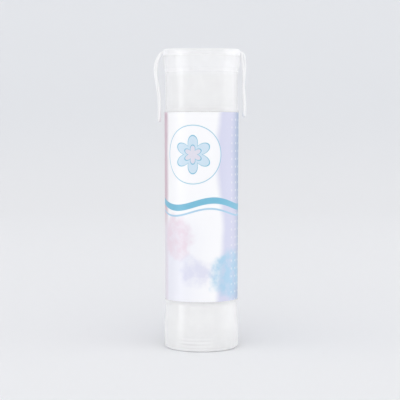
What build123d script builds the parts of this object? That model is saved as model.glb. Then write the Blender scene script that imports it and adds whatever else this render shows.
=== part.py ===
from build123d import *
import math
import os

# Pack of round cotton pads in a drawstring film bag. Millimetres, +Z up, standing on its foot.
# The origin is the middle of the foot, +X is to the right and -Y is the printed front.

# Main sizes: the bag from its foot to its rim, and the pads that fill it
bag_height = 238.7
pad_diameter = 56.0
pad_thickness = 2.735
loose_pads_at_foot = 5
loose_pads_at_head = 5
lowest_pad_chamfer = 1.2

# Film: its wall, and the slack between the pads' edges and the film's inner face at each level
film_thickness = 0.3
foot_slack = 1.6
waist_slack = 0.6
print_slack = 1.2
neck_slack = 0.7
foot_top_share = 0.03
waist_share = 0.125
print_foot_share = 0.167
print_head_share = 0.793
print_step_height = 2.0

# Weld across the foot, pressed a little way into the film
foot_weld_length = 46.0
foot_weld_width = 4.0
foot_weld_depth = 0.12

# Hem: the film folded inwards at the rim and welded below, so that the fold holds the cord
head_space = 1.4
hem_weld_height = 1.4
hem_depth = 18.2
hem_flare = 1.8
hem_flare_height = 2.0
cord_diameter = 2.0
cord_clearance = 0.35

# Flats that stand for the rounds of the foot's corner and of the hem's fold
corner_flat_deg = 30.0
fold_flat_deg = 45.0

# Notches in the hem's fold, left and right, where the cord comes out
notch_width = 9.6
notch_depth = 4.0
cut_overrun = 2.0

# Cord: its two ends are butted at the back of the hem, and it turns hem_turns times in each quarter of it
cord_end_gap = 0.5
cord_sides = 6
hem_turns = 4
exit_turn_deg = 12.0
bend_share = 0.45

# Worked out from the sizes above. A whole number of pads fills the height that the hem leaves.
weld_top = bag_height - hem_depth
stack_top = weld_top - head_space
stack_height = stack_top - film_thickness
pad_count = round(stack_height / pad_thickness)
pressed_pad = stack_height / pad_count
pad_radius = pad_diameter / 2

foot_radius = pad_radius + foot_slack + film_thickness
waist_radius = pad_radius + waist_slack + film_thickness
print_radius = pad_radius + print_slack + film_thickness
neck_radius = pad_radius + neck_slack + film_thickness
hem_radius = neck_radius + hem_flare
foot_corner_radius = lowest_pad_chamfer + foot_slack + film_thickness

fold_radius = cord_diameter / 2 + cord_clearance + film_thickness
channel_radius = hem_radius - fold_radius
channel_height = bag_height - fold_radius
flare_top = weld_top + hem_flare_height
hem_turn_deg = (90 - exit_turn_deg) / hem_turns


def foot_corner(inset):
    """The foot's corner as flats outside a round that is smaller by inset, from the foot up to the wall."""
    reach = (foot_corner_radius - inset) / math.cos(math.radians(corner_flat_deg / 2))
    turns = [math.radians(corner_flat_deg * (flat + 0.5)) for flat in range(round(90 / corner_flat_deg))]
    middle = foot_radius - foot_corner_radius
    return [(middle + reach * math.sin(a), foot_corner_radius - reach * math.cos(a)) for a in turns]


def wall(inset):
    """The wall from the foot's corner to the hem's weld, with the print's band proud of the clear film."""
    print_foot = bag_height * print_foot_share
    print_head = bag_height * print_head_share
    line = [
        (foot_radius, bag_height * foot_top_share),
        (waist_radius, bag_height * waist_share),
        (waist_radius, print_foot),
        (print_radius, print_foot + print_step_height),
        (print_radius, print_head - print_step_height),
        (neck_radius, print_head),
        (neck_radius, weld_top - hem_weld_height),
    ]
    return foot_corner(inset) + [(radius - inset, height) for radius, height in line]


def hem_fold(reach):
    """The fold over the cord as flats outside a round of radius reach, from the outside in."""
    flat = reach * math.tan(math.radians(fold_flat_deg / 2))
    return [
        (channel_radius + reach, channel_height + flat),
        (channel_radius + flat, channel_height + reach),
        (channel_radius - flat, channel_height + reach),
        (channel_radius - reach, channel_height + flat),
        (channel_radius - reach, channel_height),
    ]


def half_section(points):
    """A closed half section in the XZ plane."""
    with BuildSketch(Plane.XZ) as section:
        with BuildLine():
            Polyline(*points, close=True)
        make_face()
    return section.sketch


def film_section():
    """Half section of the film: foot, wall and hem as one strip, with the hem's channel still filled."""
    seam_radius = neck_radius - 2 * film_thickness
    return half_section([
        (0, 0),
        *wall(0),
        (neck_radius, weld_top),
        (hem_radius, flare_top),
        *hem_fold(fold_radius),
        (seam_radius, weld_top),
        (seam_radius, weld_top - hem_weld_height),
        *reversed(wall(film_thickness)),
        (0, film_thickness),
    ])


def channel_section():
    """Half section of the hollow in the hem, which closes to the weld below."""
    return half_section([
        (neck_radius - film_thickness, weld_top),
        (hem_radius - film_thickness, flare_top),
        *hem_fold(fold_radius - film_thickness),
    ])


def notch_cuts():
    """What the notches take from the outer half of the fold: one short sweep of a ring at each side."""
    half_angle = math.degrees(math.asin(notch_width / 2 / channel_radius))
    far = hem_radius + cut_overrun
    low = bag_height - notch_depth
    high = bag_height + cut_overrun
    section = half_section([(channel_radius, low), (far, low), (far, high), (channel_radius, high)])
    sector = Rot(0, 0, -half_angle) * revolve(section, Axis.Z, 2 * half_angle)
    return [sector, Rot(0, 0, 180) * sector]


def film_bag():
    """The whole bag, turned from its section, with the notches and the foot's weld cut in."""
    bag = revolve(film_section(), Axis.Z) - revolve(channel_section(), Axis.Z)
    bag -= notch_cuts()
    bag -= Box(foot_weld_length, foot_weld_width, 2 * foot_weld_depth)
    return bag


def cotton_pads():
    """The stack: single pads at the foot and at the mouth, and those between them as one block."""
    block_count = pad_count - loose_pads_at_foot - loose_pads_at_head
    counts = [1] * loose_pads_at_foot + [block_count] + [1] * loose_pads_at_head
    solids = []
    level = film_thickness
    for count in counts:
        height = count * pressed_pad
        solids.append(Pos(0, 0, level + height / 2) * Cylinder(pad_radius, height))
        level += height
    solids[0] = chamfer(solids[0].edges().sort_by(Axis.Z)[0], lowest_pad_chamfer)
    return Compound(children=solids)


def hem_corners(first_deg, count):
    """Corners of the cord's route round the channel, one for each turn, anticlockwise from first_deg."""
    corner_radius = channel_radius / math.cos(math.radians(hem_turn_deg / 2))
    angles = [math.radians(first_deg + hem_turn_deg * turn) for turn in range(count)]
    return [(corner_radius * math.cos(a), corner_radius * math.sin(a), channel_height) for a in angles]


# The hanging loops, from the notch down the front strand, round the fold and up the back strand.
# Each point gives its distance out from the channel, back from the middle and up from the channel.
left_loop = [
    (0.1, -3.2, 0.0),
    (4.0, -1.7, -0.3),
    (7.2, -1.3, -4.4),
    (8.6, -1.2, -11.8),
    (7.6, -1.2, -20.8),
    (5.2, -1.4, -34.8),
    (5.2, -2.1, -50.4),
    (5.2, -2.1, -53.4),
    (4.7, 0.0, -54.7),
    (4.2, 2.1, -53.4),
    (4.2, 2.1, -50.3),
    (4.05, 1.4, -35.2),
    (5.1, 1.3, -28.2),
    (6.7, 1.2, -21.2),
    (7.1, 1.2, -13.5),
    (6.1, 1.3, -7.0),
    (3.3, 1.9, -1.6),
    (0.1, 3.2, 0.0),
]
right_loop = [
    (0.1, -3.2, 0.0),
    (3.6, -1.8, -0.2),
    (5.4, -1.4, -4.4),
    (5.75, -1.3, -11.8),
    (5.5, -1.3, -17.8),
    (4.65, -1.3, -25.8),
    (5.3, -1.4, -32.8),
    (6.1, -1.7, -44.6),
    (5.9, -2.0, -47.4),
    (5.75, -2.1, -49.8),
    (5.2, 0.0, -51.1),
    (4.65, 2.1, -49.8),
    (4.85, 2.0, -47.2),
    (5.0, 1.7, -44.2),
    (4.45, 1.4, -31.8),
    (4.1, 1.3, -25.8),
    (4.75, 1.3, -17.8),
    (4.4, 1.4, -11.6),
    (3.5, 1.7, -5.8),
    (3.3, 2.1, -1.6),
    (0.1, 3.2, 0.0),
]


def cord_route():
    """Corners of the cord's route: from its end at the back by the left loop, the front and the right."""
    half_turn = hem_turn_deg / 2
    left = [(-channel_radius - out, back, channel_height + up) for out, back, up in left_loop]
    right = [(channel_radius + out, back, channel_height + up) for out, back, up in right_loop]
    return [
        (-cord_end_gap / 2, channel_radius, channel_height),
        *hem_corners(90 + half_turn, hem_turns),
        *reversed(left),
        *hem_corners(180 + exit_turn_deg + half_turn, 2 * hem_turns),
        *right,
        *hem_corners(exit_turn_deg + half_turn, hem_turns),
        (cord_end_gap / 2, channel_radius, channel_height),
    ]


def bend_radii(corners):
    """The largest radius that the shorter run at each corner leaves room for."""
    radii = []
    for before, corner, after in zip(corners, corners[1:], corners[2:]):
        run_in = Vector(*corner) - Vector(*before)
        run_out = Vector(*after) - Vector(*corner)
        half_turn = math.radians(run_in.get_angle(run_out) / 2)
        radii.append(bend_share * min(run_in.length, run_out.length) / math.tan(half_turn))
    return radii


def drawstring():
    """The cord as a six-sided rod along straight runs and tangent arcs."""
    corners = cord_route()
    radii = bend_radii(corners)
    path = FilletPolyline(*corners, radius=radii)
    start = Plane(origin=path @ 0, z_dir=path % 0)
    section = start * RegularPolygon(cord_diameter / 2, cord_sides)
    cord = sweep(section, path=path)
    print("cord length", round(path.length, 1))
    print("cord volume over section times length", round(cord.volume / (section.area * path.length), 4))
    print("cord bend radii", [round(radius, 1) for radius in radii])
    return cord


os.makedirs("parts", exist_ok=True)
export_step(film_bag(), "parts/film_bag.step")
export_step(cotton_pads(), "parts/cotton_pads.step")
export_step(drawstring(), "parts/drawstring.step")
print("pads", pad_count, "of", round(pressed_pad, 3), "hem radius", round(hem_radius, 2))
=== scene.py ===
"""Dressed model of a round pack of cotton pads in a drawstring film bag, laid out as a Blender add-on.

Metres, +Z up, in the frame of the packed part: the origin is the middle of the foot and -Y is the front.
"""

import math
import random

import bmesh
import bpy
from bpy.props import FloatProperty, FloatVectorProperty, IntProperty, PointerProperty
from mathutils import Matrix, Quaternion, Vector, noise


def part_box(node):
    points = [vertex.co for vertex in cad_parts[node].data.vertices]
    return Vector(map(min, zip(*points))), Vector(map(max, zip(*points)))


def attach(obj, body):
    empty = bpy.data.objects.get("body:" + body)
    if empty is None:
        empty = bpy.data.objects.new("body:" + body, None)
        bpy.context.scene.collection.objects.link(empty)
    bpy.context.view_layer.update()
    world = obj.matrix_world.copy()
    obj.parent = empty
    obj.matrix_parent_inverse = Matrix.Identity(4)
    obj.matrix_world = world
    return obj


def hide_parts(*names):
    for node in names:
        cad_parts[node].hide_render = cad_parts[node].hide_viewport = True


bl_info = {
    "name": "Cotton pad pack",
    "version": (1, 0, 0),
    "blender": (4, 5, 0),
    "location": "3D View > Sidebar > Cotton pads",
    "description": "Builds a drawstring film bag full of round cotton pads",
    "category": "Add Mesh",
}

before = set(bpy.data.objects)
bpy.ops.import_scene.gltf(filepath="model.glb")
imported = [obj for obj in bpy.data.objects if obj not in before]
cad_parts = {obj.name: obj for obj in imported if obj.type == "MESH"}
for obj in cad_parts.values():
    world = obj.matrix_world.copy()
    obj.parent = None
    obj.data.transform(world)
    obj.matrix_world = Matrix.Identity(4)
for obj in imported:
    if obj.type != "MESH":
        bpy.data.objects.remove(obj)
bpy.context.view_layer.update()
film_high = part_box("film_bag")[1]
pads_low, pads_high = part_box("cotton_pads")
MM = 0.001
PAD_COUNT = 80


def linear(red, green, blue):
    """The scene-linear colour of display values from 0 to 255."""
    shares = [value / 255 for value in (red, green, blue)]
    return tuple(s / 12.92 if s <= 0.04045 else ((s + 0.055) / 1.055) ** 2.4 for s in shares)


def length(name, description, default):
    """A length in metres that a user may change."""
    return FloatProperty(name=name, description=description, default=default, unit="LENGTH", precision=5)


def share(name, description, default):
    """A share from 0 to 1 that a user may change."""
    return FloatProperty(
        name=name, description=description, default=default, min=0, max=1, subtype="FACTOR"
    )


def colour(name, description, default):
    """A colour that a user may change."""
    return FloatVectorProperty(
        name=name, description=description, default=default, min=0, max=1, subtype="COLOR"
    )


def light_level(name, description, default):
    """A strength of the room light that a user may change."""
    return FloatProperty(name=name, description=description, default=default, min=0)


def power(name, description, default):
    """A lamp's power in watts that a user may change."""
    return FloatProperty(
        name=name, description=description, default=default, min=0, unit="POWER", precision=4
    )


class FilmSettings(bpy.types.PropertyGroup):
    """Sizes of the film bag."""

    foot_radius: length("Foot radius", "Outside of the bag just above its foot", 29.8 * MM)
    foot_corner: length("Foot corner", "Round where the wall turns under", 2.9 * MM)
    foot_top: length("Foot top", "Height up to which the foot stays wide", 15.0 * MM)
    waist_radius: length("Waist radius", "Outside of the clear film below the print", 28.55 * MM)
    waist_height: length("Waist height", "Height where the wall has come in to the waist", 33.5 * MM)
    print_foot: length("Print foot", "Height of the print's lower edge", 39.9 * MM)
    print_head: length("Print head", "Height of the print's upper edge", 189.3 * MM)
    print_foot_radius: length("Print radius below", "Outside of the print at its lower edge", 29.2 * MM)
    print_head_radius: length("Print radius above", "Outside of the print at its upper edge", 29.7 * MM)
    print_fall: length("Print fall", "Height over which the clear film falls in from the print", 3.6 * MM)
    neck_radius: length("Neck radius", "Outside of the clear film above the print", 29.0 * MM)
    weld_height: length("Weld height", "Top of the weld that closes the hem", film_high[2] - 18.2 * MM)
    weld_band: length("Weld band", "Height of that weld", 1.4 * MM)
    flare_height: length("Hem flare", "Height over which the hem widens above its weld", 3.4 * MM)
    hem_dip: length("Hem dip", "How far the hem falls in between its lower edge and the cord", 0.15 * MM)
    rim_lift: length("Rim lift", "How far the cord lifts the hem at the sides", 1.0 * MM)
    fold_radius: length("Fold radius", "Round of the hem's fold over the cord", 1.65 * MM)
    notch_depth: length("Notch depth", "Depth of the notches that let the cord out", 5.0 * MM)
    notch_flare: length("Notch flare", "How far the cord pulls the hem out beside the notches", 0.5 * MM)
    hem_sag: length("Hem sag", "How far the weld sags at the front and the back", 0.2 * MM)
    dent: length("Dents", "Depth of the film's broad shallow dents", 0.16 * MM)
    flute: length("Flutes", "Depth of the upright flutes under the weld", 0.22 * MM)
    cling: length("Cling", "Depth of the rings where the film clings to the lowest pads", 0.075 * MM)
    cling_pitch: length("Cling pitch", "Height from ring to ring", (pads_high[2] - pads_low[2]) / PAD_COUNT)
    columns: IntProperty(name="Columns", description="Columns of faces round the bag", default=152, min=16)
    notch_columns: IntProperty(
        name="Notch columns", description="Half of a notch's columns", default=4, min=1
    )


class PrintSettings(bpy.types.PropertyGroup):
    """Colours of the film and of the pastel print on it."""

    clear: colour("Clear film", "Tint of the clear film's haze", linear(252, 252, 253))
    haze: share("Haze", "How much of what is behind it the clear film hides", 0.36)
    hem_haze: share("Hem haze", "The same in the hem", 0.36)
    weld_haze: share("Weld haze", "The same where the film is welded or folded", 0.72)
    # Edge haze is partly the longer path through the haze and partly a painted sheen at the film's edges
    edge_haze_and_sheen: share("Edge haze", "Haze that is added where the film is seen edge on", 0.5)
    haze_grain: share("Haze grain", "How unevenly the haze lies", 0.08)
    ground: colour("Ground", "Ground of the print", linear(247, 247, 249))
    pink: colour("Pink", "Pink at the left", linear(209, 184, 196))
    lavender: colour("Lavender", "Lavender at the right", linear(212, 213, 234))
    blue: colour("Blue", "Blue at the far right", linear(162, 182, 211))
    sky: colour("Sky", "Pale blue of clouds, petals and the narrow band", linear(170, 207, 231))
    blush: colour("Blush", "Pale pink of clouds and of the flower's middle", linear(232, 217, 228))
    aqua: colour("Aqua", "Broad waved band and the outlines", linear(118, 187, 214))


class PadSettings(bpy.types.PropertyGroup):
    """Sizes and colour of the cotton pads."""

    count: IntProperty(name="Pads", description="Pads in the stack", default=PAD_COUNT, min=1)
    radius: length("Radius", "Outside of a pressed pad", pads_high[0] + 0.2 * MM)
    edge_round: length("Edge round", "Round of a pad's edge", 0.25 * MM)
    foot_round: length("Foot round", "Round of the lowest pads' edges, which are looser", 0.9 * MM)
    foot_spread: length("Foot spread", "How much further out the lowest pads reach", 1.0 * MM)
    gap: length("Gap", "Space between two pads", 0.01 * MM)
    wander: length("Wander", "How far a pad lies off the middle", 0.08 * MM)
    fluff: length("Fluff", "Depth of the lumps on a pad's edge", 0.08 * MM)
    segments: IntProperty(name="Segments", description="Faces round a pad", default=72, min=12)
    seed: IntProperty(name="Seed", description="Start of the pads' random places", default=11)
    cotton: colour("Cotton", "Colour of the cotton", linear(252, 252, 252))


class CordSettings(bpy.types.PropertyGroup):
    """Sizes and colour of the drawstring."""

    diameter: length("Diameter", "Thickness of the cord", 2.0 * MM)
    lay: length("Lay", "Length in which a strand goes once round", 5.6 * MM)
    strands: IntProperty(name="Strands", description="Strands twisted together", default=3, min=2)
    groove: share("Groove", "Depth between the strands as a share of the radius", 0.16)
    sides: IntProperty(name="Sides", description="Points round the cord", default=18, min=6)
    end_gap: length("End gap", "Space between the cord's butted ends at the back", 0.5 * MM)
    cotton: colour("Cord", "Colour of the cord", linear(249, 249, 250))


class StageSettings(bpy.types.PropertyGroup):
    """Camera, floor and lights."""

    camera_distance: length("Camera distance", "From the pack's axis to the camera", 1.0236)
    camera_height: length("Camera height", "Height of the camera over the floor", 0.1726)
    camera_aside: length("Camera aside", "How far the camera stands to the left", 1.2 * MM)
    camera_tilt: FloatProperty(
        name="Camera tilt", description="How far it looks down", default=math.radians(3.0), subtype="ANGLE"
    )
    lens: FloatProperty(
        name="Lens", description="Focal length in millimetres", default=114.43, unit="CAMERA"
    )
    paper: colour("Paper", "Colour of the floor", linear(236, 237, 240))
    paper_high: colour("Upper paper", "Colour of the upright backdrop", linear(230, 232, 236))
    room_paper: colour("Room paper", "What shows beyond the backdrop's ends", linear(228, 229, 232))
    sky_strength: light_level("Room light", "Strength of the even light", 0.79)
    side_strength: light_level("Side light", "Added to the room light from both sides", 0.78)
    front_strength: light_level("Front light", "Added to it from over the camera", 0.7)
    left_card: power("Left card", "Narrow card that shows in the gloss", 0.048)
    right_card: power("Right card", "Broad card that shows in the gloss", 0.066)


class Nodes:
    """Short ways to add the nodes that the pack's finishes and the room light use."""

    def __init__(self, tree):
        self.tree = tree

    def node(self, kind, *values, **settings):
        """A new node with these settings, fed from its first socket on."""
        made = self.tree.nodes.new(kind)
        for name, value in settings.items():
            setattr(made, name, value)
        for socket, value in zip([s for s in made.inputs if s.enabled], values):
            self.feed(socket, value)
        return made

    def feed(self, socket, value):
        """Links a socket to an output, or sets its plain value."""
        if isinstance(value, bpy.types.NodeSocket):
            self.tree.links.new(value, socket)
        elif value is not None:
            socket.default_value = value

    def math(self, operation, *values):
        return self.node("ShaderNodeMath", *values, operation=operation).outputs[0]

    def vector(self, operation, *values):
        made = self.node("ShaderNodeVectorMath", *values, operation=operation)
        return made.outputs["Value" if operation in ("DISTANCE", "LENGTH", "DOT_PRODUCT") else "Vector"]

    def ramp(self, value, start, end, low=0.0, high=1.0):
        """A smooth step from low at start to high at end."""
        made = self.node(
            "ShaderNodeMapRange", value, start, end, low, high, interpolation_type="SMOOTHSTEP"
        )
        return made.outputs[0]

    def blend(self, factor, first, second):
        """One colour over another."""
        made = self.node("ShaderNodeMix", data_type="RGBA")
        self.feed(made.inputs["Factor"], factor)
        for name, value in (("A", first), ("B", second)):
            socket = next(s for s in made.inputs if s.name == name and s.type == "RGBA")
            self.feed(socket, value if isinstance(value, bpy.types.NodeSocket) else (*value, 1.0))
        return next(s for s in made.outputs if s.type == "RGBA")

    def noise(self, place, scale, detail=2.0, roughness=0.5):
        made = self.node("ShaderNodeTexNoise", place)
        self.feed(made.inputs["Scale"], scale)
        self.feed(made.inputs["Detail"], detail)
        self.feed(made.inputs["Roughness"], roughness)
        return made.outputs["Fac"]

    def stretched(self, place, scale):
        """Coordinates scaled along each axis, for a pattern that runs one way."""
        return self.vector("MULTIPLY", place, scale)

    def bump(self, height, distance, strength=1.0, below=None):
        made = self.node("ShaderNodeBump")
        self.feed(made.inputs["Strength"], strength)
        self.feed(made.inputs["Distance"], distance)
        self.feed(made.inputs["Height"], height)
        self.feed(made.inputs["Normal"], below)
        return made.outputs["Normal"]

    def place(self, kind="Object"):
        """Object coordinates, or for the room light the direction."""
        return self.node("ShaderNodeTexCoord").outputs[kind]

    def split(self, place):
        return self.node("ShaderNodeSeparateXYZ", place).outputs

    def join(self, *values):
        return self.node("ShaderNodeCombineXYZ", *values).outputs[0]


class Finish(Nodes):
    """A material with a Principled shader."""

    def __init__(self, name):
        self.material = bpy.data.materials.new(name)
        self.material.use_nodes = True
        super().__init__(self.material.node_tree)
        self.surface = self.tree.nodes["Principled BSDF"]

    def set(self, **values):
        """Feeds the Principled shader's sockets, named with underscores for spaces."""
        for name, value in values.items():
            self.feed(self.surface.inputs[name.replace("_", " ")], value)


def new_piece(name, mesh_from, finishes, slot, *nodes):
    """An object from a bmesh, with its finishes, that rides on the pack and stands for its CAD nodes."""
    mesh = bpy.data.meshes.new(name)
    for face in mesh_from.faces:
        face.smooth = True
    mesh_from.to_mesh(mesh)
    mesh_from.free()
    piece = bpy.data.objects.new(name, mesh)
    bpy.context.scene.collection.objects.link(piece)
    for finish in finishes:
        mesh.materials.append(finish)
    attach(piece, "root")
    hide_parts(*nodes)
    return piece


SAME_PLACE = 0.001 * MM


def turned(lines, columns):
    """A mesh of lines of (radius, height) points, each spun once round the axis."""
    mesh = bmesh.new()
    drawn = []
    for line in lines:
        corners = [mesh.verts.new((radius, 0, height)) for radius, height in line]
        drawn += corners
        drawn += [mesh.edges.new(pair) for pair in zip(corners, corners[1:])]
    bmesh.ops.spin(
        mesh, geom=drawn, cent=(0, 0, 0), axis=(0, 0, 1), angle=math.tau, steps=columns, use_merge=True
    )
    bmesh.ops.remove_doubles(mesh, verts=mesh.verts, dist=SAME_PLACE)
    bmesh.ops.recalc_face_normals(mesh, faces=mesh.faces)
    return mesh


def smooth_share(low, high, value):
    """How far value has gone from low to high, from 0 to 1, easing at both ends."""
    x = min(max((value - low) / (high - low), 0.0), 1.0)
    return x * x * (3 - 2 * x)


def spaced(start, end, pitch):
    """Values from start to end, both included, about a pitch apart."""
    count = max(round(abs(end - start) / pitch), 1)
    return [start + (end - start) * step / count for step in range(count + 1)]


def wall_radius(film, height):
    """Outside of the bag's wall at a height: wide foot, waist, proud print and neck."""
    stations = [
        (film.foot_top, film.foot_radius),
        (film.waist_height, film.waist_radius),
        (film.print_foot - film.print_fall, film.waist_radius),
        (film.print_foot, film.print_foot_radius),
        (film.print_head, film.print_head_radius),
        (film.print_head + film.print_fall, film.neck_radius),
    ]
    radius = stations[0][1]
    for (low, before), (high, after) in zip(stations, stations[1:]):
        radius += (after - before) * smooth_share(low, high, height)
    return radius


def rim_lift(film, around, height, still):
    """How far the cord lifts the hem at the sides, from nothing at the height that stays still."""
    channel_height = film_high[2] - film.fold_radius
    return film.rim_lift * math.cos(around) ** 2 * smooth_share(still, channel_height, height)


# Spacing of the film's rows, the step of its rounds, and how far inside the neck the hem's flap is welded
FOOT_PITCH = 5.0 * MM
CLEAR_PITCH = 1.4 * MM
PRINT_PITCH = 3.7 * MM
FLARE_PITCH = 0.5 * MM
HEM_PITCH = 1.2 * MM
ROWS_FOR_EACH_RING = 4
ROUND_STEP = math.pi / 12
FLAP_INSET = 0.2 * MM

# The hem's dip comes in between two heights over its flare and goes out between two below the rim
DIP_ABOVE_FLARE = (0.5 * MM, 4.0 * MM)
DIP_BELOW_RIM = (8.0 * MM, 3.5 * MM)


def film_line(film):
    """The film's line from the middle of the foot, up the wall, over the fold and down to the weld."""
    rim_radius, rim_height = film_high[0], film_high[2]
    channel_radius = rim_radius - film.fold_radius
    channel_height = rim_height - film.fold_radius
    flare_top = film.weld_height + film.flare_height
    corner = film.foot_corner
    flat_radius = film.foot_radius - corner

    line = [(radius, 0.0) for radius in spaced(0.0, flat_radius, FOOT_PITCH)]
    for turn in spaced(0.0, math.pi / 2, ROUND_STEP)[1:]:
        line.append((flat_radius + corner * math.sin(turn), corner - corner * math.cos(turn)))
    heights = spaced(corner, film.print_foot, film.cling_pitch / ROWS_FOR_EACH_RING)[1:]
    heights += spaced(film.print_foot, film.print_head, PRINT_PITCH)[1:]
    heights += spaced(film.print_head, film.weld_height, CLEAR_PITCH)[1:]
    line += [(wall_radius(film, height), height) for height in heights]
    for height in spaced(film.weld_height, flare_top, FLARE_PITCH)[1:]:
        out = smooth_share(film.weld_height, flare_top, height)
        line.append((film.neck_radius + (rim_radius - film.neck_radius) * out, height))
    notch_low = rim_height - film.notch_depth
    heights = spaced(flare_top, notch_low, HEM_PITCH)[1:] + spaced(notch_low, channel_height, HEM_PITCH)[1:]
    for height in heights:
        dip = smooth_share(*(flare_top + above for above in DIP_ABOVE_FLARE), height)
        dip *= 1 - smooth_share(*(rim_height - below for below in DIP_BELOW_RIM), height)
        line.append((rim_radius - film.hem_dip * dip, height))
    for turn in spaced(0.0, math.pi, ROUND_STEP)[1:]:
        line.append((
            channel_radius + film.fold_radius * math.cos(turn),
            channel_height + film.fold_radius * math.sin(turn),
        ))
    seam_radius = film.neck_radius - FLAP_INSET
    flap_radius = channel_radius - film.fold_radius
    for height in spaced(channel_height, film.weld_height, HEM_PITCH)[1:]:
        down = smooth_share(channel_height, film.weld_height, height)
        line.append((flap_radius + (seam_radius - flap_radius) * down, height))
    line.append((seam_radius, film.weld_height - film.weld_band))
    return line


# Where the film's dents grow calm in the print, and its flutes, pleats and clinging rings come and go
PRINT_EASE = 8 * MM
PRINT_CALM = 0.6
FLUTE_REACH = 22 * MM
PLEATS_FADE = (2 * MM, 14 * MM)
CLING_RISE = (2.5 * MM, 5 * MM)
CLING_FADE = (8 * MM, 14 * MM)
CLING_PATCHES = 3
CLING_PATCH_TURN = math.radians(100)
CLING_PATCH_EDGE = (-0.2, 0.8)


def wrinkle(ring, height, across, along, start):
    """Smooth noise over the film, finer the larger across and along are."""
    return noise.noise(ring * across + Vector((0, 0, start + height * along)))


def film_dents(film, around, height):
    """How far the film stands out: dents, flutes at the weld, and pleats and clinging rings at the foot."""
    ring = Vector((math.cos(around), math.sin(around), 0))
    in_print = smooth_share(film.print_foot, film.print_foot + PRINT_EASE, height)
    in_print *= 1 - smooth_share(film.print_head - PRINT_EASE, film.print_head, height)
    broad = wrinkle(ring, height, across=1.7, along=22, start=0)
    upright = wrinkle(ring, height, across=7.5, along=9, start=4)
    pleats = wrinkle(ring, height, across=9.0, along=30, start=20)
    at_weld = smooth_share(film.weld_height - FLUTE_REACH, film.weld_height, height)
    at_foot = 1 - smooth_share(*PLEATS_FADE, height)
    rings = math.cos(math.tau * ((height - pads_low[2]) / film.cling_pitch - 0.5))
    rings *= smooth_share(*CLING_RISE, height) * (1 - smooth_share(*CLING_FADE, height))
    rings *= smooth_share(*CLING_PATCH_EDGE, math.cos(CLING_PATCHES * (around + CLING_PATCH_TURN)))
    out = film.dent * broad * (1 - PRINT_CALM * in_print)
    out += film.flute * upright * at_weld
    return out + film.flute * pleats * at_foot + film.cling * rings


# The clear film's haze hides part of its gloss, so its index is higher than the print's to make up for it
CLEAR_IOR = 2.3
PRINT_IOR = 1.5
CLEAR_ROUGHNESS = 0.10
CLEAR_ROUGHNESS_GRAIN = 0.10
HEM_ROUGHNESS_ADDED = 0.18
PRINT_ROUGHNESS = 0.32
PRINT_ROUGHNESS_GRAIN = 0.12

# Millimetres over the weld, or over the rim, between which the hem begins and the haze comes and goes
HEM_OVER_WELD = (-3.0, 3.0)
WELD_HAZE_RISE = (-2.4, 2.0)
WELD_HAZE_FADE = (7.0, 3.0)
WELD_HAZE_SHARE = 0.55
FOLD_HAZE_OVER_RIM = (-6.5, -3.0)

# How fine the film's upright creases and its ripples are along each axis
CREASE_SCALE = (150.0, 150.0, 9.0)
RIPPLE_SCALE = (240.0, 240.0, 90.0)


def film_ripples(kit, place, below=None):
    """Fine ripples of stretched film."""
    ripples = kit.noise(kit.stretched(place, RIPPLE_SCALE), scale=1.0, detail=3.0)
    return kit.bump(ripples, distance=0.12 * MM, strength=0.4, below=below)


def clear_film_finish(film, art):
    """Glossy clear film, hazier where it is seen edge on (a longer path through the haze, and partly a
    painted sheen at its edges), and most where it is welded or folded.
    """
    kit = Finish("Clear film")
    place = kit.place()
    height = kit.math("DIVIDE", kit.split(place)[2], MM)
    weld, rim = film.weld_height / MM, film_high[2] / MM
    grain = kit.noise(place, scale=60.0, detail=4.0)
    facing = kit.node("ShaderNodeLayerWeight", 0.5).outputs["Facing"]

    def between(level, heights, most=1.0):
        """A smooth step over two heights that are given over a level."""
        return kit.ramp(height, *(level + over for over in heights), 0.0, most)

    in_hem = between(weld, HEM_OVER_WELD)
    fading = between(weld, WELD_HAZE_FADE, WELD_HAZE_SHARE)
    doubled = kit.math("MULTIPLY", between(weld, WELD_HAZE_RISE), fading)
    doubled = kit.math("MAXIMUM", doubled, between(rim, FOLD_HAZE_OVER_RIM))
    haze = kit.math("MULTIPLY_ADD", in_hem, art.hem_haze - art.haze, art.haze)
    haze = kit.math("MAXIMUM", haze, kit.math("MULTIPLY", doubled, art.weld_haze))
    haze = kit.math("MULTIPLY_ADD", kit.math("SUBTRACT", grain, 0.5), art.haze_grain, haze)
    # Haze added where the film is seen edge on: partly its longer path through the haze, partly a painted
    # sheen in place of its edge reflection
    haze = kit.math("MULTIPLY_ADD", kit.math("POWER", facing, 2.0), art.edge_haze_and_sheen, haze)
    creases = kit.noise(kit.stretched(place, CREASE_SCALE), scale=1.0, detail=2.0)
    rough = kit.math("MULTIPLY_ADD", in_hem, HEM_ROUGHNESS_ADDED, CLEAR_ROUGHNESS)
    kit.set(
        Base_Color=(*art.clear, 1.0),
        Alpha=kit.math("MINIMUM", haze, 1.0),
        Roughness=kit.math("MULTIPLY_ADD", grain, CLEAR_ROUGHNESS_GRAIN, rough),
        IOR=CLEAR_IOR,
        Normal=film_ripples(kit, place, kit.bump(creases, distance=0.4 * MM, strength=0.5)),
    )
    return kit.material


# The print's layout is in millimetres. A place is how far round from the middle of its side, and how high.
# Washes: how far round from the middle of the front each one starts, and where it is full
MIST_ROUND = (12.0, -30.0)
PINK_ROUND = (-31.0, -37.0)
BLUSH_ROUND = (-44.0, -62.0)
LAVENDER_ROUND = (12.0, 19.0)
BLUE_ROUND = (27.0, 44.0)
BEHIND_ROUND = (60.0, 88.0)

# Heights over which the mist and the pink come in, and how strong they are
MIST_HEIGHTS = (114.0, 92.0)
MIST_STRENGTH = 0.4
PINK_HEIGHTS = (92.0, 118.0)
PINK_LEAST = 0.3

# Edges of the washes: how ragged, and the slow swing of those at the right
RAGGED = 22.0
RAGGED_WASH_SHARE = 0.15
FLOW_SWING = 3.0
FLOW_WAVES = 0.05

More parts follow.
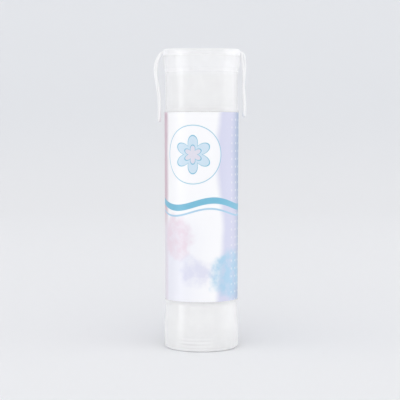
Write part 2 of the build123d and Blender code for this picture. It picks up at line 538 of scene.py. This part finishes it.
# Clouds: colour, radius, strength, and their places in front and at the back
CLOUDS = (
    ("sky", 22.0, 0.95, (26.0, 62.0), (-22.0, 78.0)),
    ("blush", 20.0, 0.95, (-23.0, 92.0), (20.0, 96.0)),
    ("lavender", 15.0, 0.7, (-4.0, 64.0), (4.0, 62.0)),
)
CLOUD_EDGE = 9.0
POOLED_NOISE = (0.3, 0.62)
POOLED_LEAST = 0.45

# Dots: their edge as shares of the pitch, and where they come in and fade out round the bag
DOT_PITCH = 6.22
DOT_EDGE = (0.17, 0.13)
DOT_STRENGTH = 0.55
DOTS_RISE = (20.0, 34.0)
DOTS_FADE = (76.0, 60.0)

# Waved bands: colour, height, start of the swing and width
WAVES = (("aqua", 117.0, 0.6, 5.0), ("sky", 110.5, 0.9, 1.4))
WAVE_SWING = 3.0
WAVES_ROUND = 3.0
LINE_EDGE = 0.15

# Flowers: places in front and at the back, the ring round them, and the colour and size of their petals
FLOWER_PLACES = ((-7.0, 156.0), (3.0, 156.0))
FLOWER_GROUND_STRENGTH = 0.9
FLOWER_RING_RADIUS = 23.0
FLOWER_RING_WIDTH = 0.7
FLOWER_RING_EDGE = 0.4
FLOWER_RING_STRENGTH = 0.8
PETALS = 6.0
PETAL_FILLS = (("sky", 15.0), ("blush", 7.5))
PETAL_STRENGTH = 0.6
PETAL_EDGE = (0.3, -0.3)
PETAL_LINE = (0.55, 0.3)


def printed_film_finish(film, art):
    """The film's opaque pastel print: washes, clouds, waved bands, dots and a ringed flower."""
    kit = Finish("Pastel print")
    place = kit.place()
    x, y, z = kit.split(place)
    angle = kit.math("ARCTAN2", x, kit.math("MULTIPLY", y, -1.0))
    height = kit.math("DIVIDE", z, MM)
    around = kit.math("MULTIPLY", angle, film.print_head_radius / MM)
    front = kit.join(around, height, 0.0)
    around_back = kit.math("MULTIPLY", kit.math("ARCTAN2", x, y), film.print_head_radius / MM)
    back = kit.join(around_back, height, 0.0)

    grain = kit.noise(place, scale=60.0, detail=5.0, roughness=0.58)
    soft = kit.math("MULTIPLY", kit.math("SUBTRACT", grain, 0.5), RAGGED)
    pools = kit.noise(place, scale=130.0, detail=4.0, roughness=0.6)
    pooled = kit.ramp(pools, *POOLED_NOISE, POOLED_LEAST, 1.0)

    def away(side, centre):
        """Distance from a place on one side."""
        return kit.vector("DISTANCE", side, (*centre, 0.0))

    def some(mask, strength):
        return kit.math("MULTIPLY", mask, strength)

    def line(far, width):
        """A line of this width with a soft edge, from the distance to its middle."""
        return kit.ramp(far, width / 2 + LINE_EDGE, width / 2 - LINE_EDGE)

    def cloud(side, centre, radius, strength):
        """A disc of thin colour that has run and pooled."""
        disc = kit.ramp(kit.math("ADD", away(side, centre), soft), radius, radius - CLOUD_EDGE)
        return kit.math("MULTIPLY", disc, some(pooled, strength))

    def flower(side, centre, size):
        """Distance out of a plain flower of round petals, below 0 inside it."""
        off = kit.vector("SUBTRACT", side, (*centre, 0.0))
        aside, up, _ = kit.split(off)
        turn = kit.math("MULTIPLY", kit.math("ARCTAN2", aside, up), PETALS / 2)
        lobes = kit.math("ABSOLUTE", kit.math("COSINE", turn))
        reach = kit.math("MULTIPLY_ADD", lobes, size / 2, size / 2)
        return kit.math("SUBTRACT", kit.vector("LENGTH", off), reach)

    def wave(middle, start, width):
        """A waved band that closes on itself round the bag."""
        swayed = some(kit.math("SINE", kit.math("MULTIPLY_ADD", angle, WAVES_ROUND, start)), WAVE_SWING)
        off = kit.math("SUBTRACT", kit.math("SUBTRACT", height, middle), swayed)
        return line(kit.math("ABSOLUTE", off), width)

    wash = kit.math("ADD", around, some(soft, RAGGED_WASH_SHARE))
    swing = kit.math("SINE", kit.math("MULTIPLY", height, FLOW_WAVES))
    flow = kit.math("MULTIPLY_ADD", swing, FLOW_SWING, wash)
    mist = kit.math("MULTIPLY", kit.ramp(height, *MIST_HEIGHTS), kit.ramp(wash, *MIST_ROUND))
    ink = kit.blend(some(mist, MIST_STRENGTH), art.ground, art.lavender)
    risen = kit.ramp(height, *PINK_HEIGHTS, PINK_LEAST, 1.0)
    ink = kit.blend(kit.math("MULTIPLY", kit.ramp(wash, *PINK_ROUND), risen), ink, art.pink)
    ink = kit.blend(kit.ramp(wash, *BLUSH_ROUND), ink, art.blush)
    ink = kit.blend(kit.ramp(flow, *LAVENDER_ROUND), ink, art.lavender)
    ink = kit.blend(kit.ramp(flow, *BLUE_ROUND), ink, art.blue)
    behind = kit.ramp(kit.math("ABSOLUTE", wash), *BEHIND_ROUND)
    ink = kit.blend(behind, ink, art.lavender)
    for name, radius, strength, *places in CLOUDS:
        for side, centre in zip((front, back), places):
            ink = kit.blend(cloud(side, centre, radius, strength), ink, getattr(art, name))
    spots = kit.vector("FRACTION", kit.vector("DIVIDE", front, (DOT_PITCH, DOT_PITCH, 1.0)))
    spot = kit.vector("DISTANCE", spots, (0.5, 0.5, 0.0))
    dotted = kit.math("MULTIPLY", kit.ramp(around, *DOTS_RISE), kit.ramp(around, *DOTS_FADE))
    dots = kit.math("MULTIPLY", kit.ramp(spot, *DOT_EDGE), dotted)
    ink = kit.blend(some(dots, DOT_STRENGTH), ink, art.ground)
    for name, middle, start, width in WAVES:
        ink = kit.blend(wave(middle, start, width), ink, getattr(art, name))
    for side, centre in zip((front, back), FLOWER_PLACES):
        off_ring = kit.math("SUBTRACT", away(side, centre), FLOWER_RING_RADIUS)
        inside = kit.ramp(off_ring, FLOWER_RING_EDGE, -FLOWER_RING_EDGE)
        ink = kit.blend(some(inside, FLOWER_GROUND_STRENGTH), ink, art.ground)
        ring = line(kit.math("ABSOLUTE", off_ring), FLOWER_RING_WIDTH)
        ink = kit.blend(some(ring, FLOWER_RING_STRENGTH), ink, art.aqua)
        for name, size in PETAL_FILLS:
            out = flower(side, centre, size)
            ink = kit.blend(some(kit.ramp(out, *PETAL_EDGE), PETAL_STRENGTH), ink, getattr(art, name))
            ink = kit.blend(kit.ramp(kit.math("ABSOLUTE", out), *PETAL_LINE), ink, art.aqua)

    kit.set(
        Base_Color=ink,
        Roughness=kit.math("MULTIPLY_ADD", grain, PRINT_ROUGHNESS_GRAIN, PRINT_ROUGHNESS),
        IOR=PRINT_IOR,
        Normal=film_ripples(kit, place),
    )
    return kit.material


# Pressed dots: their pitch, their edge as shares of it, and how level a face is that has them
EMBOSS_PITCH = 3.4 * MM
EMBOSS_EDGE = (0.20, 0.34)
LEVEL_FACES = (0.9, 0.7)

# Shade between the fibres of the cotton and of the cord
COTTON_SHADES = (0.35, 0.6)
DEEP_COTTON_SHARE = 0.95
CORD_SHADES = (0.3, 0.6)
CORD_FIBRE_SCALE = (24.0, 3.0, 1.0)
DEEP_CORD_SHARE = 0.93


def cotton_finish(pads):
    """Matt cotton wool with fibres, and small pressed dots on the flat faces."""
    kit = Finish("White cotton wool")
    place = kit.place()
    x, y, _ = kit.split(place)
    fibres = kit.noise(place, scale=1400.0, detail=6.0, roughness=0.65)
    lumps = kit.noise(place, scale=220.0, detail=3.0)
    up = kit.math("ABSOLUTE", kit.split(kit.node("ShaderNodeNewGeometry").outputs["Normal"])[2])
    pitch = (EMBOSS_PITCH, EMBOSS_PITCH, 1.0)
    pressed = kit.vector("FRACTION", kit.vector("DIVIDE", kit.join(x, y, 0.0), pitch))
    dots = kit.ramp(kit.vector("DISTANCE", pressed, (0.5, 0.5, 0.0)), *EMBOSS_EDGE)
    dots = kit.math("MAXIMUM", dots, kit.ramp(up, *LEVEL_FACES))
    soft = kit.bump(fibres, distance=0.10 * MM, strength=0.6)
    shade = kit.math("MULTIPLY_ADD", fibres, 0.5, kit.math("MULTIPLY", lumps, 0.5))
    deep = tuple(channel * DEEP_COTTON_SHARE for channel in pads.cotton)
    kit.set(
        Base_Color=kit.blend(kit.ramp(shade, *COTTON_SHADES), deep, tuple(pads.cotton)),
        Roughness=0.95,
        Sheen_Weight=0.25,
        Sheen_Roughness=0.5,
        Specular_IOR_Level=0.2,
        Normal=kit.bump(dots, distance=0.30 * MM, strength=0.7, below=soft),
    )
    return kit.material


def cord_finish(cord):
    """Matt white cotton cord whose fibres follow its strands."""
    kit = Finish("White twisted cord")
    along = kit.node("ShaderNodeUVMap", uv_map="UVMap").outputs[0]
    fibres = kit.noise(kit.stretched(along, CORD_FIBRE_SCALE), scale=1.0, detail=4.0, roughness=0.6)
    deep = tuple(channel * DEEP_CORD_SHARE for channel in cord.cotton)
    kit.set(
        Base_Color=kit.blend(kit.ramp(fibres, *CORD_SHADES), deep, tuple(cord.cotton)),
        Roughness=0.9,
        Sheen_Weight=0.2,
        Sheen_Roughness=0.5,
        Specular_IOR_Level=0.25,
        Normal=kit.bump(fibres, distance=0.08 * MM, strength=0.7),
    )
    return kit.material


# Height over which the paper changes, and how much its grain shows
PAPER_CHANGE = 0.25
PAPER_GRAIN = 0.04


def paper_finish(stage):
    """Pale matt paper, a little darker where it stands upright behind the white hem and cord."""
    kit = Finish("Pale backdrop paper")
    place = kit.place()
    grain = kit.noise(place, scale=40.0, detail=3.0)
    upright = kit.ramp(kit.split(place)[2], 0.0, PAPER_CHANGE)
    sheet = kit.blend(upright, tuple(stage.paper), tuple(stage.paper_high))
    kit.set(
        Base_Color=kit.blend(kit.math("MULTIPLY", grain, PAPER_GRAIN), sheet, tuple(stage.paper)),
        Roughness=0.9,
        Specular_IOR_Level=0.15,
    )
    return kit.material


# The hanging loops, in millimetres, from the notch down the inner strand, which hangs in front, round the
# fold and up the outer strand behind it. Each point gives its distance out from the hem's channel, back
# from the middle and up from the channel.
LEFT_LOOP = [
    (0.1, -3.2, 0.0),
    (3.3, -1.9, -1.6),
    (6.1, -1.3, -7.0),
    (7.1, -1.2, -13.5),
    (6.7, -1.2, -21.2),
    (5.1, -1.3, -28.2),
    (4.05, -1.4, -35.2),
    (4.2, -2.1, -50.3),
    (4.2, -2.1, -53.4),
    (4.7, 0.0, -54.7),
    (5.2, 2.1, -53.4),
    (5.2, 2.1, -50.4),
    (5.2, 1.4, -34.8),
    (7.6, 1.2, -20.8),
    (8.6, 1.2, -11.8),
    (6.8, 1.3, -5.4),
    (3.4, 1.7, -1.0),
    (0.1, 3.2, 0.0),
]
RIGHT_LOOP = [
    (0.1, -3.2, 0.0),
    (3.2, -2.1, -1.6),
    (3.3, -1.7, -5.8),
    (4.4, -1.4, -11.6),
    (4.75, -1.3, -17.8),
    (4.1, -1.3, -25.8),
    (4.45, -1.4, -31.8),
    (5.0, -1.7, -44.2),
    (4.85, -2.0, -47.2),
    (4.65, -2.1, -49.8),
    (5.2, 0.0, -51.1),
    (5.75, 2.1, -49.8),
    (5.9, 2.0, -47.4),
    (6.1, 1.7, -44.6),
    (5.3, 1.4, -32.8),
    (4.65, 1.3, -25.8),
    (5.5, 1.3, -17.8),
    (5.75, 1.3, -11.8),
    (5.7, 1.3, -8.0),
    (5.3, 1.4, -3.2),
    (3.7, 1.8, -0.85),
    (0.1, 3.2, 0.0),
]

# The cord's corners in each quarter of the hem, the turn where it comes out, how far down it is lifted with
# the rim, and the steps between two of its points
HEM_TURNS = 4
EXIT_TURN = math.radians(12)
HEM_TURN = (math.pi / 2 - EXIT_TURN) / HEM_TURNS
LIFTED_CORD = 8 * MM
CORD_STEPS = 24


def cord_route(film, cord):
    """Control points of the cord: from its end at the back by the left loop, the front and the right."""
    channel_radius = film_high[0] - film.fold_radius
    channel_height = film_high[2] - film.fold_radius

    def hem(first, count):
        corner = channel_radius / math.cos(HEM_TURN / 2)
        angles = [first + HEM_TURN * turn for turn in range(count)]
        return [(corner * math.cos(a), corner * math.sin(a), channel_height) for a in angles]

    def loop(points, side):
        return [
            (side * (channel_radius + out * MM), back * MM, channel_height + up * MM)
            for out, back, up in points
        ]

    route = [
        (-cord.end_gap / 2, channel_radius, channel_height),
        *hem(math.pi / 2 + HEM_TURN / 2, HEM_TURNS),
        *reversed(loop(LEFT_LOOP, -1)),
        *hem(math.pi + EXIT_TURN + HEM_TURN / 2, 2 * HEM_TURNS),
        *loop(RIGHT_LOOP, 1),
        *hem(EXIT_TURN + HEM_TURN / 2, HEM_TURNS),
        (cord.end_gap / 2, channel_radius, channel_height),
    ]
    still = channel_height - LIFTED_CORD
    return [(x, y, z + rim_lift(film, math.atan2(y, x), z, still)) for x, y, z in route]


def spline_points(corners, steps):
    """Points along the smooth line that has these corners as its control points."""
    curve = bpy.data.curves.new("Cord line", "CURVE")
    curve.dimensions = "3D"
    spline = curve.splines.new("NURBS")
    spline.points.add(len(corners) - 1)
    for point, corner in zip(spline.points, corners):
        point.co = (*corner, 1.0)
    spline.order_u = 3
    spline.use_endpoint_u = True
    spline.resolution_u = steps
    line = bpy.data.objects.new("Cord line", curve)
    mesh = bpy.data.meshes.new_from_object(line)
    points = [vertex.co.copy() for vertex in mesh.vertices]
    bpy.data.objects.remove(line)
    bpy.data.curves.remove(curve)
    bpy.data.meshes.remove(mesh)
    return points


def twisted_tube(points, cord):
    """A closed tube along the points whose lobed section turns as the strands do, with a map along it."""
    mesh = bmesh.new()
    mapped = mesh.loops.layers.uv.new("UVMap")
    ahead = [(after - before).normalized() for before, after in zip(points, points[1:])]
    ahead.append(ahead[-1])
    side = ahead[0].orthogonal().normalized()
    core = cord.diameter / 2 * (1 - cord.groove / 2)
    lobe = cord.diameter / 2 * cord.groove / 2
    rings, travel = [], [0.0]
    for index, (point, way) in enumerate(zip(points, ahead)):
        if index:
            side = ahead[index - 1].rotation_difference(way) @ side
            side = (side - way * side.dot(way)).normalized()
            travel.append(travel[-1] + (point - points[index - 1]).length)
        ring = []
        for step in range(cord.sides):
            turn = math.tau * step / cord.sides
            reach = core + lobe * math.cos(cord.strands * (turn - math.tau * travel[-1] / cord.lay))
            ring.append(mesh.verts.new(point + Quaternion(way, turn) @ side * reach))
        rings.append(ring)
    for index, (low, high) in enumerate(zip(rings, rings[1:])):
        for step in range(cord.sides):
            after = (step + 1) % cord.sides
            face = mesh.faces.new((low[step], low[after], high[after], high[step]))
            ends = ((step, index), (step + 1, index), (step + 1, index + 1), (step, index + 1))
            for corner, (sideways, along) in zip(face.loops, ends):
                lays = travel[along] / cord.lay
                corner[mapped].uv = (sideways / cord.sides - lays, lays)
    mesh.faces.new(reversed(rings[0]))
    mesh.faces.new(rings[-1])
    bmesh.ops.recalc_face_normals(mesh, faces=mesh.faces)
    return mesh, travel[-1]


# The backdrop's half width, its front edge, and its place and height behind the pack
BACKDROP_HALF_WIDTH = 9.0
BACKDROP_FRONT = -9.0
BACKDROP_BACK = 1.8
BACKDROP_TOP = 4.5

# Cards for the gloss: name, setting of its power, place, and width and height. They face one point.
CARDS = (
    ("Left card", "left_card", (-0.095, -0.054, 0.15), (0.036, 0.30)),
    ("Right card", "right_card", (0.106, 0.0, 0.15), (0.10, 0.30)),
)
CARDS_FACE = (0.0, 0.0, 0.15)

# The way to the middle of the front light, and how narrow the side and front lights are
FRONT_LIGHT_WAY = (0.0, -0.9, 0.44)
LIGHT_NARROWNESS = 4.0
SENSOR_WIDTH = 36.0


class COTTONPACK_OT_stage(bpy.types.Operator):
    """Adds the backdrop, the soft lights and the camera"""

    bl_idname = "cotton_pack.stage"
    bl_label = "Stage"

    def execute(self, context):
        scene, stage = context.scene, context.scene.pack_stage
        scene.view_settings.view_transform = "Standard"
        self.backdrop(scene, stage)
        self.lights(scene, stage)
        self.camera(scene, stage)
        return {"FINISHED"}

    def backdrop(self, scene, stage):
        """A sheet of paper that stands up behind the pack and is shaded smoothly over its bend."""
        mesh = bmesh.new()
        profile = ((BACKDROP_FRONT, 0), (BACKDROP_BACK, 0), (BACKDROP_BACK, BACKDROP_TOP))
        line = [mesh.verts.new((-BACKDROP_HALF_WIDTH, y, z)) for y, z in profile]
        runs = [mesh.edges.new(pair) for pair in zip(line, line[1:])]
        made = bmesh.ops.extrude_edge_only(mesh, edges=runs)["geom"]
        moved = [part for part in made if isinstance(part, bmesh.types.BMVert)]
        bmesh.ops.translate(mesh, verts=moved, vec=(2 * BACKDROP_HALF_WIDTH, 0, 0))
        bmesh.ops.recalc_face_normals(mesh, faces=mesh.faces)
        if sum(face.normal.z for face in mesh.faces) < 0:
            bmesh.ops.reverse_faces(mesh, faces=mesh.faces)
        for face in mesh.faces:
            face.smooth = True
        paper = bpy.data.meshes.new("Backdrop")
        mesh.to_mesh(paper)
        mesh.free()
        paper.materials.append(paper_finish(stage))
        backdrop = bpy.data.objects.new("Backdrop", paper)
        scene.collection.objects.link(backdrop)

    def lights(self, scene, stage):
        """Soft room light, and a narrow and a broad card that show only in the gloss."""
        scene.world = self.room(stage)
        for name, setting, place, (width, tall) in CARDS:
            lamp = bpy.data.lights.new(name, "AREA")
            lamp.shape = "RECTANGLE"
            lamp.size, lamp.size_y, lamp.energy = width, tall, getattr(stage, setting)
            light = bpy.data.objects.new(name, lamp)
            light.location = place
            ahead = Vector(CARDS_FACE) - light.location
            light.rotation_euler = ahead.to_track_quat("-Z", "Y").to_euler()
            light.visible_camera = False
            light.visible_diffuse = False
            scene.collection.objects.link(light)

    def room(self, stage):
        """White light that is stronger from both sides and from over the camera.

        The camera, gloss and glass see paper in its place beyond the backdrop's ends.
        """
        world = bpy.data.worlds.new("Room light")
        world.use_nodes = True
        kit = Nodes(world.node_tree)
        way = kit.place("Generated")
        aside = kit.math("POWER", kit.math("ABSOLUTE", kit.split(way)[0]), LIGHT_NARROWNESS)
        ahead = kit.math("MAXIMUM", kit.vector("DOT_PRODUCT", way, FRONT_LIGHT_WAY), 0.0)
        ahead = kit.math("POWER", ahead, LIGHT_NARROWNESS)
        strength = kit.math("MULTIPLY_ADD", aside, stage.side_strength, stage.sky_strength)
        strength = kit.math("MULTIPLY_ADD", ahead, stage.front_strength, strength)
        light = kit.node("ShaderNodeBackground", (1.0, 1.0, 1.0, 1.0), strength)
        paper = kit.node("ShaderNodeBackground", (*stage.room_paper, 1.0), 1.0)
        ray = kit.node("ShaderNodeLightPath").outputs
        seen = kit.math("MAXIMUM", ray["Is Camera Ray"], ray["Is Glossy Ray"])
        seen = kit.math("MAXIMUM", seen, ray["Is Transmission Ray"])
        mixed = kit.node("ShaderNodeMixShader", seen, light.outputs[0], paper.outputs[0])
        kit.feed(kit.tree.nodes["World Output"].inputs["Surface"], mixed.outputs[0])
        return world

    def camera(self, scene, stage):
        """A long lens a little above the middle of the pack, looking slightly down."""
        view = bpy.data.cameras.new("Camera")
        view.lens, view.sensor_width = stage.lens, SENSOR_WIDTH
        camera = bpy.data.objects.new("Camera", view)
        camera.location = (-stage.camera_aside, -stage.camera_distance, stage.camera_height)
        camera.rotation_euler = (math.pi / 2 - stage.camera_tilt, 0, 0)
        scene.collection.objects.link(camera)
        scene.camera = camera


class COTTONPACK_OT_drawstring(bpy.types.Operator):
    """Adds the twisted cord that runs in the hem and hangs as a loop at each side"""

    bl_idname = "cotton_pack.drawstring"
    bl_label = "Drawstring"

    def execute(self, context):
        film, cord = context.scene.pack_film, context.scene.pack_cord
        points = spline_points(cord_route(film, cord), CORD_STEPS)
        tube, run = twisted_tube(points, cord)
        piece = new_piece("Drawstring_cord", tube, [cord_finish(cord)], "cord", "drawstring")
        return {"FINISHED"}


# How the film is creased: the flat of the foot that stays still, how far round and up the cord pulls the
# hem out, where the hem widens about its weld, and where the weld's sag and the rim's lift begin
STILL_FOOT = 10 * MM
PULL_TURN = math.radians(28)
PULL_ABOVE_WELD = 3 * MM
PULL_BELOW_RIM = 5 * MM
TAPER_BELOW_WELD = 3 * MM
TAPER_ABOVE_WELD = 10 * MM
SAG_BELOW_WELD = 9 * MM
LIFT_ABOVE_WELD = 2 * MM


class COTTONPACK_OT_film_bag(bpy.types.Operator):
    """Adds the film bag with its welded hem, notches, dents and print"""

    bl_idname = "cotton_pack.film_bag"
    bl_label = "Film bag"

    def execute(self, context):
        film, art = context.scene.pack_film, context.scene.pack_print
        line = film_line(film)
        mesh = turned([line], film.columns)
        for face in mesh.faces:
            face.material_index = int(film.print_foot < face.calc_center_median().z < film.print_head)
        printed = next(face for face in mesh.faces if face.material_index)
        if printed.normal.dot(printed.calc_center_median() * Vector((1, 1, 0))) < 0:
            bmesh.ops.reverse_faces(mesh, faces=mesh.faces)
        self.cut_notches(mesh, film)
        self.crease(mesh, film)
        finishes = [clear_film_finish(film, art), printed_film_finish(film, art)]
        piece = new_piece("Film_bag_sheet", mesh, finishes, "film", "film_bag")
        return {"FINISHED"}

    def cut_notches(self, mesh, film):
        """Takes the outer half of the fold away at the left and the right."""
        half_angle = math.tau * film.notch_columns / film.columns
        channel_radius = film_high[0] - film.fold_radius
        gone = []
        for face in mesh.faces:
            middle = face.calc_center_median()
            off = abs(math.atan2(middle.y, abs(middle.x)))
            outer = math.hypot(middle.x, middle.y) > channel_radius
            if off < half_angle and outer and middle.z > film_high[2] - film.notch_depth:
                gone.append(face)
        if not gone:
            raise RuntimeError("no face of the hem lies in the notches")
        bmesh.ops.delete(mesh, geom=gone, context="FACES")

    def crease(self, mesh, film):
        """Dents the film, widens its hem gently, pulls it out and up at the cord and sags its weld."""
        weld, rim_radius, rim_height = film.weld_height, film_high[0], film_high[2]
        flap_radius = rim_radius - 2 * film.fold_radius
        for vertex in mesh.verts:
            radius = math.hypot(vertex.co.x, vertex.co.y)
            if radius < STILL_FOOT:
                continue
            around = math.atan2(vertex.co.y, vertex.co.x)
            height = vertex.co.z
            up_hem = smooth_share(weld + PULL_ABOVE_WELD, rim_height - PULL_BELOW_RIM, height)
            pulled = smooth_share(math.cos(PULL_TURN), 1.0, abs(math.cos(around))) * up_hem
            pulled *= smooth_share(flap_radius, rim_radius, radius)
            out = film_dents(film, around, height) + film.notch_flare * pulled
            if radius > film.neck_radius - FLAP_INSET / 2:
                gentle = smooth_share(weld - TAPER_BELOW_WELD, weld + TAPER_ABOVE_WELD, height)
                stepped = smooth_share(weld, weld + film.flare_height, height)
                out += (rim_radius - film.neck_radius) * (gentle - stepped)
            vertex.co.x *= (radius + out) / radius
            vertex.co.y *= (radius + out) / radius
            near_weld = smooth_share(weld - SAG_BELOW_WELD, weld, height) * (1 - up_hem)
            vertex.co.z -= film.hem_sag * near_weld * math.sin(around) ** 2
            vertex.co.z += rim_lift(film, around, height, weld + LIFT_ABOVE_WELD)


# Heights between which the pads turn from loose to pressed, and up to which the lowest ones spread less
LOOSE_PADS = (12 * MM, 30 * MM)
SPREAD_RISE = (0.0, 5 * MM)

# The round of a pad's edge as shares of its size: how far in, and how far from the pad's face
PAD_ROUND_SHARES = ((3.0, 0.0), (1.0, 0.04), (0.3, 0.35))

# Lumps of a pad's edge: how fine they are round it and up it, and the range of their random start
LUMPS_ROUND = 9
LUMPS_UP = 0.3
LUMPS_START = 50


class COTTONPACK_OT_cotton_pads(bpy.types.Operator):
    """Adds the stack of soft round pads"""

    bl_idname = "cotton_pack.cotton_pads"
    bl_label = "Cotton pads"

    def execute(self, context):
        pads = context.scene.pack_pads
        low = pads_low[2]
        pitch = (pads_high[2] - low) / pads.count
        levels = [low + pitch * index for index in range(pads.count)]
        half_gap = pads.gap / 2
        lines = [self.pad_line(pads, level + half_gap, level + pitch - half_gap) for level in levels]
        mesh = turned(lines, pads.segments)
        self.soften(mesh, pads, low, pitch)
        piece = new_piece("Cotton_pad_stack", mesh, [cotton_finish(pads)], "cotton", "cotton_pads")
        return {"FINISHED"}

    def pad_line(self, pads, low, high):
        """Half section of one pad, from the middle of its lower face to the middle of its upper one."""
        loose = 1 - smooth_share(*LOOSE_PADS, low)
        radius = pads.radius + pads.foot_spread * loose * smooth_share(*SPREAD_RISE, low)
        soft = pads.edge_round + (pads.foot_round - pads.edge_round) * loose
        edge = [(radius - inwards * soft, up * soft) for inwards, up in PAD_ROUND_SHARES]
        return [
            (0, low),
            *((reach, low + up) for reach, up in edge),
            (radius, (low * 2 + high) / 3),
            (radius, (low + high * 2) / 3),
            *((reach, high - up) for reach, up in reversed(edge)),
            (0, high),
        ]

    def soften(self, mesh, pads, low, pitch):
        """Moves each pad a little off the middle and gives its edge soft lumps."""
        chance = random.Random(pads.seed)
        moves = [
            (chance.uniform(-1, 1), chance.uniform(-1, 1), chance.uniform(0, LUMPS_START))
            for _ in range(pads.count)
        ]
        for vertex in mesh.verts:
            aside, back, start = moves[min(int((vertex.co.z - low) / pitch), pads.count - 1)]
            reach = math.hypot(vertex.co.x, vertex.co.y)
            if reach > pads.radius - 2 * pads.foot_round:
                ring = Vector((vertex.co.x, vertex.co.y, 0)) / reach
                lumps = noise.noise(Vector((start, 0, vertex.co.z / MM * LUMPS_UP)) + ring * LUMPS_ROUND)
                vertex.co += ring * pads.fluff * lumps
            vertex.co += Vector((aside, back, 0)) * pads.wander


class COTTONPACK_PT_panel(bpy.types.Panel):
    """Lists the pack's pieces and settings"""

    bl_idname = "COTTONPACK_PT_panel"
    bl_label = "Cotton pad pack"
    bl_space_type = "VIEW_3D"
    bl_region_type = "UI"
    bl_category = "Cotton pads"

    def draw(self, context):
        for piece in PIECES:
            self.layout.operator(piece.bl_idname)
        for name, settings in SETTINGS.items():
            box = self.layout.box()
            box.label(text=settings.__doc__)
            for key in settings.__annotations__:
                box.prop(getattr(context.scene, name), key)


SETTINGS = {
    "pack_film": FilmSettings,
    "pack_print": PrintSettings,
    "pack_pads": PadSettings,
    "pack_cord": CordSettings,
    "pack_stage": StageSettings,
}
PIECES = (
    COTTONPACK_OT_stage,
    COTTONPACK_OT_drawstring,
    COTTONPACK_OT_film_bag,
    COTTONPACK_OT_cotton_pads,
)


def register():
    for cls in (*SETTINGS.values(), *PIECES, COTTONPACK_PT_panel):
        bpy.utils.register_class(cls)
    for name, settings in SETTINGS.items():
        setattr(bpy.types.Scene, name, PointerProperty(type=settings))


def unregister():
    for name in SETTINGS:
        delattr(bpy.types.Scene, name)
    for cls in (COTTONPACK_PT_panel, *reversed(PIECES), *reversed(SETTINGS.values())):
        bpy.utils.unregister_class(cls)


def main():
    """Builds the whole scene."""
    register()
    bpy.ops.cotton_pack.stage()
    bpy.ops.cotton_pack.drawstring()
    bpy.ops.cotton_pack.film_bag()
    bpy.ops.cotton_pack.cotton_pads()


if __name__ == "__main__":
    main()
